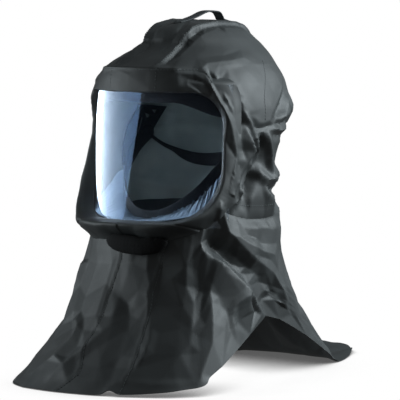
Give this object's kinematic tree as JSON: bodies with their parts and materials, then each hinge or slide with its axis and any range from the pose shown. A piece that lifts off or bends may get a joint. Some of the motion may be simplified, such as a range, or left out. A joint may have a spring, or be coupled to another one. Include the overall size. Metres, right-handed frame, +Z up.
{
  "type": "respirator hood",
  "caption": "Soft respirator hood with a curved clear visor, a carry loop, a head harness and face seal inside, and a flared shoulder cape that stands on its hem.",
  "frame": {"origin": "middle of the footprint on the floor, under the hood", "axes": "+Z up, -Y the way the visor faces, +X the wearer's left"},
  "size_m": [0.3228, 0.6288, 0.5247],
  "materials": {
    "coated_cloth": "satin coated cloth",
    "clear_visor": "clear, faint blue, glossy",
    "webbing": "woven webbing",
    "pad_fabric": "matt padded fabric",
    "harness_plastic": "matt black",
    "elastic": "matt elastic band",
    "seal_cloth": "thin gathered cloth"
  },
  "bodies": {
    "root": {"hood_shell": "coated_cloth", "shoulder_cape": "coated_cloth", "brow_band": "coated_cloth", "visor_surround": "coated_cloth", "visor": "clear_visor", "carry_loop": "webbing", "brow_pad": "pad_fabric", "temple_plate_left": "harness_plastic", "temple_plate_right": "harness_plastic", "nape_strap": "harness_plastic", "face_seal_band": "elastic", "face_seal_cloth": "seal_cloth", "chin_grip": "pad_fabric"}
  },
  "joints": []
}
